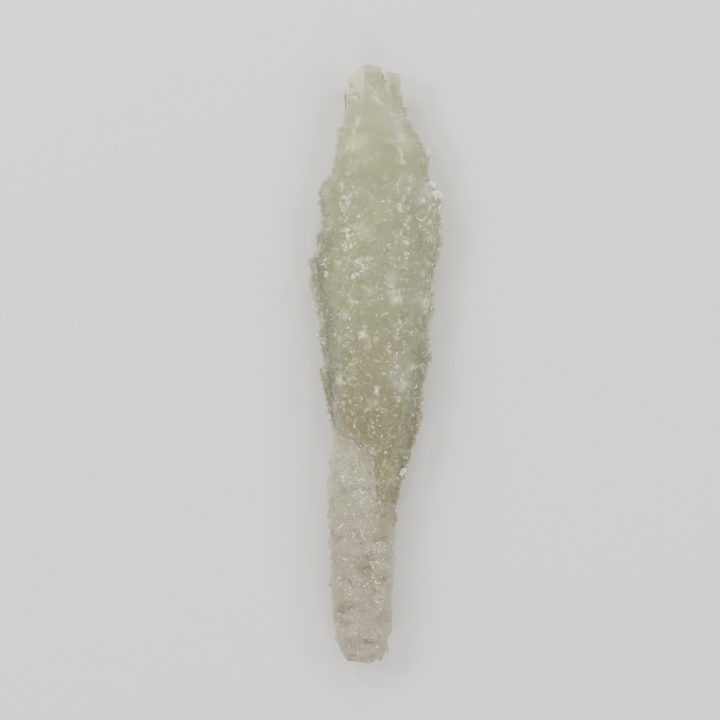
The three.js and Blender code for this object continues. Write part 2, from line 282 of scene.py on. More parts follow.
def tip_slope():
    """What is cut off the left shoulder of the crystal at the leaf's tip, so that its cap slopes down from its top."""
    left, right, above = SHOULDER[0], -0.0023, 0.110
    corners = [SHOULDER, (right, 0.0998), (right, above), (left, above)]
    points = [(x, y, z) for z in (-0.01, 0.04) for x, y in corners]
    triangles = [(0, 2, 1), (0, 3, 2), (4, 5, 6), (4, 6, 7)]
    for i in range(4):
        j = (i + 1) % 4
        triangles += [(i, j, j + 4), (i, j + 4, i + 4)]
    return mesh_object("slope", np.array(points), np.array(triangles))


def solid_copy(name):
    """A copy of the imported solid, with its corners joined."""
    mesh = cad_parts[NODE].data.copy()
    mesh.name = name
    mesh.materials.clear()
    form = bmesh.new()
    form.from_mesh(mesh)
    bmesh.ops.remove_doubles(form, verts=form.verts, dist=1e-7)
    form.to_mesh(mesh)
    form.free()
    return linked(name, mesh)


def rounded(piece, cell, rounds):
    """Remakes the piece as an even mesh with its crystals' edges worn round."""
    remesh = piece.modifiers.new("cells", "REMESH")
    remesh.mode = "VOXEL"
    remesh.voxel_size = cell
    relax = piece.modifiers.new("relax", "SMOOTH")
    relax.factor = 0.5
    relax.iterations = rounds
    triangles = piece.modifiers.new("triangles", "TRIANGULATE")
    triangles.quad_method = "SHORTEST_DIAGONAL"
    apply_modifiers(piece)


def smooth_skin():
    """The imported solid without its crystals' edges, for the direction straight out of it."""
    skin = solid_copy("skin")
    rounded(skin, cell=1.1 * MM, rounds=14)
    tree = BVHTree.FromObject(skin, bpy.context.evaluated_depsgraph_get())
    bpy.data.objects.remove(skin)
    return tree


def skin_tree(piece):
    """The piece's skin as a tree that rays can be cast at."""
    mesh = piece.data
    return BVHTree.FromPolygons([v.co for v in mesh.vertices], [p.vertices for p in mesh.polygons])


def vertex_table(piece, key):
    """What every vertex of the piece has under the key, such as its place, one row each."""
    table = np.zeros(len(piece.data.vertices) * 3)
    piece.data.vertices.foreach_get(key, table)
    return table.reshape(-1, 3)


def vertex_places(piece):
    return vertex_table(piece, "co")


def move_vertices(piece, places):
    piece.data.vertices.foreach_set("co", places.ravel())
    piece.data.update()


def add_attribute(piece, name, values):
    attribute = piece.data.attributes.new(name, "FLOAT", "POINT")
    attribute.data.foreach_set("value", np.asarray(values, np.float32))


def triangles_of(piece):
    piece.data.calc_loop_triangles()
    triangles = np.zeros(len(piece.data.loop_triangles) * 3, int)
    piece.data.loop_triangles.foreach_get("vertices", triangles)
    return triangles.reshape(-1, 3)


def point_tree(points):
    """The points as a tree that the ones near a place can be looked up in."""
    tree = kdtree.KDTree(len(points))
    for i, p in enumerate(points):
        tree.insert(p, i)
    tree.balance()
    return tree


def edges_of(triangles):
    return np.concatenate([triangles[:, (0, 1)], triangles[:, (1, 2)], triangles[:, (2, 0)]])


def owners(places, triangles, centres):
    """For each place on a mesh, the centre it belongs to, spreading from the centres along the mesh."""
    edges = edges_of(triangles)
    ends = np.concatenate([edges, edges[:, ::-1]])
    tree = point_tree(places)
    owner = np.full(len(places), -1)
    away = np.full(len(places), np.inf)
    seeds = np.array([tree.find(p)[1] for p in centres])
    owner[seeds] = np.arange(len(centres))
    away[seeds] = np.linalg.norm(places[seeds] - centres, axis=1)
    while True:
        start, end = ends[owner[ends[:, 0]] >= 0].T
        offer = np.linalg.norm(places[end] - centres[owner[start]], axis=1)
        better = offer < away[end] - 1e-9
        start, end, offer = start[better], end[better], offer[better]
        if not len(end):
            return owner
        order = np.lexsort((offer, end))
        end, first = np.unique(end[order], return_index=True)
        owner[end], away[end] = owner[start[order][first]], offer[order][first]


def dual_triangles(places, triangles, centres):
    """Triangles between the centres, one where three centres' shares of the mesh meet."""
    meeting = owners(places, triangles, centres)[triangles]
    a, b, c = meeting.T
    meeting = meeting[(a != b) & (b != c) & (c != a)]
    order = np.argsort(meeting, axis=1)
    turns = np.where((order[:, 1] - order[:, 0]) % 3 == 1, 1, -1)
    feet, found = np.unique(np.sort(meeting, axis=1), axis=0, return_inverse=True)
    net = np.bincount(found.ravel(), weights=turns, minlength=len(feet)).round().astype(int)
    feet = np.where(net[:, None] > 0, feet, feet[:, ::-1])
    return feet[net != 0]


def crowded(feet):
    """The centres at edges that haven't exactly two triangles, one on each side."""
    edges = edges_of(feet)
    _, found, counts = np.unique(np.sort(edges, axis=1), axis=0, return_inverse=True, return_counts=True)
    sides = np.bincount(found.ravel(), weights=np.where(edges[:, 0] < edges[:, 1], 1, -1))
    wrong = (counts != 2) | (sides != 0)
    return np.unique(edges[wrong[found.ravel()]])


def grained(name, piece, spacing_at, steepness_at, rng):
    """A closed crust over the piece, all of three-faced points. Removes the piece.

    Its feet are scattered over the piece and joined by triangles, each of which carries one point. Feet that don't
    join cleanly are thinned out first.
    """
    places, triangles = vertex_places(piece), triangles_of(piece)
    centres = scatter(piece, spacing_at, rng)
    bpy.data.objects.remove(piece)
    for _ in range(8):
        feet = dual_triangles(places, triangles, centres)
        bad = crowded(feet)
        unused = np.setdiff1d(np.arange(len(centres)), feet)
        if not len(bad) and not len(unused):
            break
        centres = np.delete(centres, np.union1d(bad[::2], unused), axis=0)
    share = rng.dirichlet((2.5, 2.5, 2.5), len(feet))
    tips = np.einsum("nk,nkj->nj", share, centres[feet])
    across = np.cross(centres[feet[:, 1]] - centres[feet[:, 0]], centres[feet[:, 2]] - centres[feet[:, 0]])
    height = np.sqrt(np.linalg.norm(across, axis=1)) * steepness_at(tips)
    tips += unit(across) * (height * rng.uniform(-0.3, 1.0, len(tips)))[:, None]
    outwards, rise = np.zeros_like(centres), np.zeros(len(centres))
    for k in range(3):
        np.add.at(outwards, feet[:, k], across)
        np.maximum.at(rise, feet[:, k], height)
    centres = centres + unit(outwards) * (rise * rng.uniform(-0.5, 0.8, len(centres)))[:, None]
    tip = np.arange(len(centres), len(centres) + len(feet))
    sides = np.concatenate([np.stack([feet[:, k], feet[:, (k + 1) % 3], tip], axis=1) for k in range(3)])
    return mesh_object(name, np.concatenate([centres, tips]), sides)


def scatter(piece, spacing_at, rng):
    """Points spread over the piece, no two nearer than the spacing that spacing_at gives for them."""
    a, b, c = vertex_places(piece)[triangles_of(piece).T]
    area = np.linalg.norm(np.cross(b - a, c - a), axis=1)
    wanted = spacing_at((a + b + c) / 3)
    share = area * np.where(wanted > 0, 1 / np.maximum(wanted, 1e-9) ** 2, 0)
    tries = int(5 * share.sum())
    pick = rng.choice(len(area), tries, p=share / share.sum())
    u = rng.random((len(pick), 2))
    over = u.sum(axis=1) > 1
    u[over] = 1 - u[over]
    points = a[pick] + u[:, :1] * (b - a)[pick] + u[:, 1:] * (c - a)[pick]
    spacing = spacing_at(points)
    points, spacing = points[spacing > 0], spacing[spacing > 0]
    around = list(itertools.product((-1, 0, 1), repeat=3))
    kept, cells = [], {}
    for i, (x, y, z) in enumerate(np.floor(points / spacing.max()).astype(int)):
        near = [j for dx, dy, dz in around for j in cells.get((x + dx, y + dy, z + dz), ())]
        if near and (np.linalg.norm(points[near] - points[i], axis=1) < spacing[i]).any():
            continue
        kept.append(i)
        cells.setdefault((x, y, z), []).append(i)
    return points[kept]


def unit(vectors):
    return vectors / np.maximum(np.linalg.norm(vectors, axis=-1, keepdims=True), 1e-9)


def outward(skin, points):
    return np.array([skin.find_nearest(Vector(p))[1] for p in points])


def crystals(points, normals, half_width, lean, stand_out, forms, rng):
    """Copies of the forms, one at each point, as a list of (corners, triangles).

    Each leans out of the growth direction by its lean, and its outermost corner stands out by its stand_out.
    """
    out = unit(normals - (normals @ GROWTH)[:, None] * GROWTH)
    wobble = rng.normal(0, 0.14, out.shape)
    axis = unit(GROWTH + out * np.tan(lean)[:, None] + wobble)
    side = unit(np.cross(out, axis))
    face = np.cross(axis, side)
    degrees = rng.choice([0, 60], len(points)) + rng.normal(0, 9, len(points))
    turn = np.radians(degrees)[:, None]
    face, side = face * np.cos(turn) + side * np.sin(turn), side * np.cos(turn) - face * np.sin(turn)
    made = []
    for i in range(len(points)):
        corners, triangles = forms[rng.integers(len(forms))]
        length_share, width_share = rng.uniform(0.8, 1.3), rng.uniform(0.75, 1.2)
        stretch = np.array([1, length_share, width_share]) * half_width[i]
        turned = (corners * stretch) @ np.stack([face[i], axis[i], side[i]])
        turned += points[i] + out[i] * (stand_out[i] - (turned @ out[i]).max())
        made.append((turned, triangles))
    return made


def disjoint_sets(made, least=8):
    """The crystals sorted into sets in which no two touch. Sets with fewer than the least are left out."""
    low = np.array([corners.min(axis=0) for corners, _ in made])
    high = np.array([corners.max(axis=0) for corners, _ in made])
    middle = (low + high) / 2
    reach = float((high - low).max())
    tree = point_tree(middle)
    set_of = np.full(len(made), -1)
    for i in range(len(made)):
        taken = {
            set_of[j]
            for _, j, _ in tree.find_range(middle[i], reach * 1.8)
            if set_of[j] >= 0 and (low[i] < high[j]).all() and (low[j] < high[i]).all()
        }
        set_of[i] = next(k for k in range(len(made)) if k not in taken)
    sets = [np.flatnonzero(set_of == k) for k in range(set_of.max() + 1)]
    return [[made[i] for i in members] for members in sets if len(members) >= least]


def grow(piece, made):
    """Fuses the crystals into the piece, one set of separate ones at a time."""
    for group in disjoint_sets(made):
        starts = np.cumsum([0] + [len(corners) for corners, _ in group])
        points = np.concatenate([corners for corners, _ in group])
        triangles = np.concatenate([t + s for (_, t), s in zip(group, starts)])
        combine(piece, mesh_object("crystals", points, triangles), "UNION")


def fringe(piece, spacing, stand_out, ends, on_crust, forms, rng):
    """Small crystals along the piece's left and right edges, leaning outwards, from one end in y to the other."""
    tree = skin_tree(piece)
    rows, left, right = outline()
    well_outside = 0.05
    places, outwards = [], []
    for side, edge in ((-1, left), (1, right)):
        y = ends[0]
        while y < ends[1]:
            y += spacing * rng.uniform(0.6, 1.4)
            level = np.interp(y, rows, edge[:, 2]) + rng.normal(0, 0.3 * MM)
            hit = tree.ray_cast(Vector((side * well_outside, y, level)), Vector((-side, 0, 0)))[0]
            if hit is not None and (crust_share(np.array([hit]))[0] > 0.5) == on_crust:
                places.append(hit)
                outwards.append((side, 0, rng.normal(0, 0.15)))
    count = len(places)
    half_width = spacing * rng.uniform(0.55, 0.95, count)
    lean = np.radians(rng.uniform(22, 50, count))
    reach = stand_out * rng.uniform(0.3, 1.7, count)
    return crystals(np.array(places), np.array(outwards, float), half_width, lean, reach, forms, rng)


def drop_loose_shells(form):
    """Removes all but the mesh's largest connected part."""
    unseen, shells = set(form.verts), []
    while unseen:
        shell, edge = [], [unseen.pop()]
        while edge:
            v = edge.pop()
            shell.append(v)
            near = [e.other_vert(v) for e in v.link_edges]
            new = [n for n in near if n in unseen]
            unseen.difference_update(new)
            edge.extend(new)
        shells.append(shell)
    shells.sort(key=len)
    bmesh.ops.delete(form, geom=[v for shell in shells[:-1] for v in shell], context="VERTS")


def finish_mesh(piece, sharp_degrees):
    """Cleans the mesh, and shades it smooth but for its crystals' edges."""
    form = bmesh.new()
    form.from_mesh(piece.data)
    drop_loose_shells(form)
    bmesh.ops.triangulate(form, faces=[f for f in form.faces if len(f.verts) > 3], ngon_method="EAR_CLIP")
    bmesh.ops.recalc_face_normals(form, faces=form.faces)
    form.to_mesh(piece.data)
    form.free()
    piece.data.materials.clear()
    piece.data.polygons.foreach_set("material_index", np.zeros(len(piece.data.polygons), np.int32))
    piece.data.shade_smooth()
    piece.data.set_sharp_from_angle(angle=math.radians(sharp_degrees))


# ---------------------------------------------------------------- what lies where

# Every spot below is its x, y and radius in mm, and its strength from 0 to 1.
# Cream and blue-white clouds inside the leaf.
CREAM_SPOTS_MM = (
    (-6.3, 72.5, 4.2, 0.9), (-4.0, 43.0, 3.2, 0.8), (-8.0, 84.0, 3.0, 0.4), (1.0, 80.0, 2.6, 0.5),
    (11.0, 71.0, 2.5, 0.6), (0.5, 50.0, 5.0, 0.3), (4.8, -37.5, 4.0, 0.22),
)
VEIL_SPOTS_MM = (
    (6.5, 79.0, 4.5, 0.5), (-3.0, 96.0, 4.0, 0.8), (17.0, 57.0, 4.5, 0.8), (5.0, 27.5, 2.4, 0.7),
    (14.5, 21.0, 2.4, 0.7), (8.0, -3.0, 5.0, 0.4), (-20.0, 33.5, 3.2, 0.7), (-17.5, 43.5, 2.8, 0.5),
    (-16.8, 57.0, 3.2, 0.5), (-17.5, 25.0, 2.8, 0.5), (-16.5, 13.5, 2.8, 0.5), (-15.8, -1.5, 3.0, 0.5),
    (19.5, 41.0, 2.8, 0.5), (19.0, 8.5, 3.2, 0.7), (4.6, 81.6, 1.2, 0.4), (6.4, 81.9, 1.2, 0.6),
    (8.2, 82.2, 1.2, 0.7), (10.0, 82.5, 1.2, 0.8),
)

# Painted glints: spots on the leaf's face, where crystals with many cracks inside catch the light, get close pale
# specks.
GLINT_SPOTS_MM = (
    (5.5, 23.9, 1.8, 1.0), (6.5, 20.6, 1.6, 0.9), (16.5, 19.5, 1.8, 0.9), (8.8, -7.1, 2.4, 0.7),
    (12.8, -1.8, 1.6, 0.8), (-11.5, -5.5, 1.8, 0.9), (0.2, -8.5, 1.0, 0.9), (-1.2, -29.1, 1.0, 0.9),
    (-10.0, 15.5, 1.6, 0.6), (-9.5, 38.5, 1.8, 0.5),
)

# The larger crystals that stand out of the leaf's face, each as its x, y and half width in mm.
FACE_CRYSTALS_MM = (
    (-6.8, 55.9, 1.2), (-2.8, 50.2, 1.0), (7.5, 56.2, 1.1), (14.5, 52.9, 1.5), (-14.2, 44.9, 1.4),
    (-11.8, 47.5, 1.0), (-9.3, 51.5, 1.0), (3.2, 47.0, 0.9), (17.2, 33.2, 1.3), (15.5, 29.8, 1.7),
    (9.8, 32.9, 1.0), (-6.0, 31.5, 1.1), (-2.4, 35.0, 0.9), (5.2, 25.2, 1.5), (6.6, 22.0, 1.2),
    (16.8, 19.2, 1.5), (-11.2, 23.2, 1.2), (-11.5, 16.2, 1.2), (14.0, 14.0, 1.0), (-7.5, 8.2, 1.1),
    (-12.8, 6.9, 1.3), (11.5, 9.5, 1.1), (-4.8, 0.2, 1.0), (-12.2, -6.1, 1.3), (0.2, -8.5, 1.0),
    (12.8, -1.5, 1.2), (2.5, -3.5, 1.1), (11.2, -7.1, 1.1), (8.0, -9.5, 1.0), (10.2, -11.8, 1.1),
    (-6.5, -16.5, 0.9), (9.0, -22.5, 0.9), (-1.2, -29.1, 1.0), (6.2, -31.8, 1.0), (4.5, -38.5, 0.9),
)

# Spots where the stalk's crust is darker brown.
HOLLOW_SPOTS_MM = ((-2.7, -69.5, 4.0, 0.6), (-9.9, -80.5, 3.2, 0.6), (-12.5, -66.5, 2.6, 0.4), (1.5, -85.5, 3.0, 0.4))

# Where the leaf's olive shows through the crust.
OLIVE_SPOTS_MM = ((4.0, -52.0, 5.5, 0.6), (-1.5, -36.0, 3.0, 0.3), (0.5, -46.0, 3.0, 0.35))

# The druse's upper edge as (x, y) in mm: a slope down from the left, then a step down beside the leaf's olive foot.
CRUST_EDGE_MM = ((-14, -21.5), (-9, -24.0), (-3, -29.0), (-0.4, -31.0), (0.6, -43.0), (3, -47.5), (8, -50.5))


def along_growth(points, stops, values):
    """A value at each point that changes evenly between stops in y."""
    return np.interp(points[:, 1], stops, values)


def crust_share(points, fade=2.0 * MM):
    """1 where the druse covers the stalk and 0 where the leaf's calcite is bare, fading over the given length."""
    edge = np.array(CRUST_EDGE_MM) * MM
    height = np.interp(points[:, 0], edge[:, 0], edge[:, 1])
    ragged = np.array([2.0 * noise.noise(Vector(p) / (3.2 * MM)) + 0.9 * noise.noise(Vector(p) / MM) for p in points])
    ragged *= MM
    return np.clip(0.5 + (height + ragged - points[:, 1]) / fade, 0, 1)


def crust_tint_share(points):
    """How much of the crust's colour each point takes. It fades more softly than the crust, and lower."""
    lower, fade = 1.2 * MM, 9 * MM
    return crust_share(points + np.array([0, lower, 0]), fade)


def lumps_and_creases(points, crease_width):
    """The height of the crust's lumps, from -1 to 1, and the share of the narrow creases between them."""
    stretch = Vector((1 / 6.0, 1 / 4.0, 1 / 5.0)) / MM
    elsewhere = Vector((7, 3, 1))
    lumps = np.array([noise.noise(Vector(p) * stretch) for p in points])
    folds = np.array([noise.noise(Vector(p) * stretch * 0.8 + elsewhere) for p in points])
    return lumps, np.exp(-((folds / crease_width) ** 2)) * np.clip(0.2 - 2.5 * lumps, 0, 1)


@functools.cache
def outline():
    """Rows up the solid, and its left and right outline at each, as seen from the front."""
    low, high = CORE_BOX
    tree = skin_tree(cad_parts[NODE])
    rows, left, right = [], [], []
    levels = np.arange(low.z + 0.3 * MM, high.z, 0.7 * MM)
    for y in np.arange(low.y + 0.4 * MM, high.y, 0.6 * MM):
        hits = [tree.ray_cast(Vector((side, y, z)), Vector((-side, 0, 0)))[0] for side in (-1, 1) for z in levels]
        hits = [tuple(hit) for hit in hits if hit is not None]
        rows.append(y)
        left.append(min(hits))
        right.append(max(hits))
    return np.array(rows), np.array(left), np.array(right)


def inside_outline(points):
    """How far each point lies inside the solid's left or right outline."""
    rows, left, right = outline()
    from_left = points[:, 0] - np.interp(points[:, 1], rows, left[:, 0])
    return np.minimum(from_left, np.interp(points[:, 1], rows, right[:, 0]) - points[:, 0])


def rim_share(points, width):
    """1 at the solid's outline and outside it, fading to 0 at the given width inside it, as seen from the front."""
    rows, left, right = outline()
    fine = np.arange(rows[0], rows[-1], 0.12 * MM)
    shoulder_x, shoulder_y = SHOULDER
    shoulder = shoulder_x + (fine - shoulder_y) * 1.6
    left_edge = np.maximum(np.interp(fine, rows, left[:, 0]), np.where(fine > shoulder_y, shoulder, -1))
    right_edge = np.interp(fine, rows, right[:, 0])
    tree = point_tree([(x, y, 0) for edge in (left_edge, right_edge) for x, y in zip(edge, fine)])
    away = np.array([tree.find((x, y, 0))[2] for x, y, _ in points])
    away[inside_outline(points) < 0] = 0
    return np.clip(1 - away / width, 0, 1)


def beside(points):
    """1 on the leaf's sides and back, where its crystals are less worn, and 0 on its front."""
    side = np.clip(1.3 - inside_outline(points) / (2.0 * MM), 0, 1)
    back = np.clip(2 - points[:, 2] / (2.5 * MM), 0, 1)
    return np.maximum(side, back)


def soft_spots(points, spots_mm):
    """The strongest of some round spots at each point. A spot is its x, y, radius in mm, and strength."""
    share = np.zeros(len(points))
    for x, y, radius, strength in spots_mm:
        away = np.hypot(points[:, 0] / MM - x, points[:, 1] / MM - y) / radius
        share = np.maximum(share, strength * np.exp(-1.4 * away**2))
    return share


# ---------------------------------------------------------------- materials


def add_node(tree, kind, inputs=None, **settings):
    """Adds a node. Settings are its properties, and inputs maps a socket to a value or to the socket that feeds it."""
    node = tree.nodes.new(kind)
    for key, value in settings.items():
        setattr(node, key, value)
    for key, value in (inputs or {}).items():
        if isinstance(value, bpy.types.NodeSocket):
            tree.links.new(value, node.inputs[key])
        else:
            node.inputs[key].default_value = value
    return node


def rgba(rgb):
    return (*rgb, 1.0)


def calcite_shader(name, radius_mm):
    """A material, its node tree, its calcite surface over a light-scattering inside, and its object coordinates.

    Calcite bends light by 1.49 to 1.66, so its faces glint. Fluid veils make its inside cloudy.
    """
    material = bpy.data.materials.new(name)
    material.use_nodes = True
    tree = material.node_tree
    tree.nodes.clear()
    surface = add_node(
        tree,
        "ShaderNodeBsdfPrincipled",
        {
            "IOR": 1.6,
            "Roughness": 0.16,
            "Specular Tint": (1.0, 0.97, 0.86, 1.0),
            "Subsurface Weight": 1.0,
            "Subsurface Radius": (1.0, 0.96, 0.8),
            "Subsurface Scale": radius_mm * MM,
        },
        subsurface_method="RANDOM_WALK",
    )
    output = add_node(tree, "ShaderNodeOutputMaterial", {"Surface": surface.outputs[0]})
    output.is_active_output = True
    place = add_node(tree, "ShaderNodeTexCoord").outputs["Object"]
    return material, tree, surface, place


def mixed(tree, share, a, b, blend="MIX"):
    """A colour between a and b by share, or between a and its blend with b."""
    inputs = {"Fac": share, "Color1": a, "Color2": b}
    return add_node(tree, "ShaderNodeMixRGB", inputs, blend_type=blend).outputs["Color"]


def layered(tree, tint, layers):
    """The tint under layers, each given as its share and its colour."""
    for share, rgb in layers:
        tint = mixed(tree, share, tint, rgba(rgb))
    return tint


def attribute(tree, name):
    return add_node(tree, "ShaderNodeAttribute", attribute_name=name).outputs["Fac"]


def ramped(tree, value, low, high):
    """0 where the value is low and below, 1 where it is high and above, with a soft change between."""
    inputs = {"Value": value, "From Min": low, "From Max": high}
    return add_node(tree, "ShaderNodeMapRange", inputs, interpolation_type="SMOOTHSTEP").outputs["Result"]


def mapped(tree, value, start, end, low, high):
    """A number that goes evenly from low to high while the value goes from start to end."""
    inputs = {"Value": value, "From Min": start, "From Max": end, "To Min": low, "To Max": high}
    return add_node(tree, "ShaderNodeMapRange", inputs).outputs["Result"]


def reckoned(tree, a, b, operation="MULTIPLY"):
    """The product of a and b, or what another operation makes of them."""
    return add_node(tree, "ShaderNodeMath", {0: a, 1: b}, operation=operation).outputs["Value"]


def clouded(tree, place, scale, detail, roughness=0.5, distortion=0.0):
    """A cloudy pattern around 0.5, finer for a larger scale."""
    inputs = {"Vector": place, "Scale": scale, "Detail": detail, "Roughness": roughness, "Distortion": distortion}
    return add_node(tree, "ShaderNodeTexNoise", inputs).outputs["Fac"]


def leaf_calcite(settings):
    """Grown calcite, cloudy grey-green inside, with cream patches, an olive foot and clear margins, under painted
    glints, painted rim highlights and painted shade in its thinner bands.
    """
    material, tree, surface, place = calcite_shader("grown_calcite", 3.6)
    along = add_node(tree, "ShaderNodeSeparateXYZ", {"Vector": place}).outputs["Y"]
    cloud = clouded(tree, place, 110.0, 4.0, roughness=0.6)
    patch = clouded(tree, place, 190.0, 2.0)
    tint = mixed(tree, ramped(tree, along, 0.035, -0.030), rgba(settings.body), rgba(settings.foot))
    tint = mixed(tree, ramped(tree, along, 0.045, 0.090), tint, rgba(settings.tip))
    tint = mixed(tree, ramped(tree, cloud, 0.70, 0.30), tint, rgba(settings.cloud), "MULTIPLY")

    # Painted glints: pale specks that stand in for small cracks and faces catching the light, more of them in patches,
    # none at the tip, and close ones in the glint spots.
    painted_glint = clouded(tree, place, 480.0, 2.0, roughness=0.6, distortion=0.7)
    painted_glints = reckoned(tree, ramped(tree, painted_glint, 0.55, 0.72), ramped(tree, along, 0.100, 0.035))
    painted_glints = reckoned(tree, painted_glints, mapped(tree, patch, 0.40, 0.62, 0.08, 0.62))
    close_painted_glints = reckoned(tree, attribute(tree, "glint_spots"), ramped(tree, painted_glint, 0.36, 0.54))

    # The rim: clear, and painted lighter as a rim highlight.
    rim = attribute(tree, "rim_highlight_margin")
    layers = (
        (reckoned(tree, ramped(tree, patch, 0.56, 0.74), 0.35), settings.cream),
        (attribute(tree, "cream"), settings.cream),
        (attribute(tree, "veil"), settings.veil),
        # Painted shade in the thinner bands.
        (attribute(tree, "thin_band_shade"), settings.thin_band_shade),
        # Painted glints.
        (reckoned(tree, painted_glints, close_painted_glints, "MAXIMUM"), settings.painted_glint),
        (attribute(tree, "crust"), settings.crust),
        # Painted highlight on the larger face crystals.
        (attribute(tree, "crystal_highlight"), settings.clear),
        # Painted rim highlight, over the clear margins.
        (reckoned(tree, rim, 0.7), settings.clear),
    )
    tree.links.new(layered(tree, tint, layers), surface.inputs["Base Color"])
    tree.links.new(mapped(tree, along, 0.050, 0.075, 0.16, 0.27), surface.inputs["Roughness"])
    tree.links.new(mapped(tree, rim, 0.0, 1.0, 0.03, 0.05), surface.inputs["Transmission Weight"])

    # Fine growth steps across the faces, and a finer grain.
    grain = clouded(tree, place, 900.0, 2.0)
    steps = add_node(
        tree,
        "ShaderNodeTexWave",
        {"Vector": place, "Scale": 190.0, "Distortion": 5.0, "Detail": 2.0, "Detail Scale": 0.6},
        bands_direction="Y",
        wave_profile="SAW",
    ).outputs["Fac"]
    height = add_node(tree, "ShaderNodeMath", {0: steps, 1: 0.35, 2: grain}, operation="MULTIPLY_ADD").outputs["Value"]
    bump = add_node(tree, "ShaderNodeBump", {"Height": height, "Strength": 0.12, "Distance": 0.12 * MM})
    tree.links.new(bump.outputs["Normal"], surface.inputs["Normal"])
    return material


def druse_calcite(settings, foot):
    """A druse of sugar-fine calcite: white, as its many small faces scatter light, and darker brown in the creases
    between its lumps and in some spots.
    """
    material, tree, surface, place = calcite_shader("sugar_calcite", 1.6)
    cloud = clouded(tree, place, 160.0, 4.0, roughness=0.6)
    along = add_node(tree, "ShaderNodeSeparateXYZ", {"Vector": place}).outputs["Y"]
    layers = (
        (ramped(tree, along, -0.030, -0.065), settings.lower),
        (ramped(tree, cloud, 0.58, 0.35), [0.84 * c for c in settings.white]),
        (attribute(tree, "hollow"), settings.hollow),
        # Painted rim highlight.
        (attribute(tree, "rim_highlight_margin"), settings.edge),
    )
    tint = layered(tree, rgba(settings.white), layers)
    tint = mixed(tree, attribute(tree, "crust"), rgba(foot), tint)
    tree.links.new(tint, surface.inputs["Base Color"])
    return material


# ---------------------------------------------------------------- operators


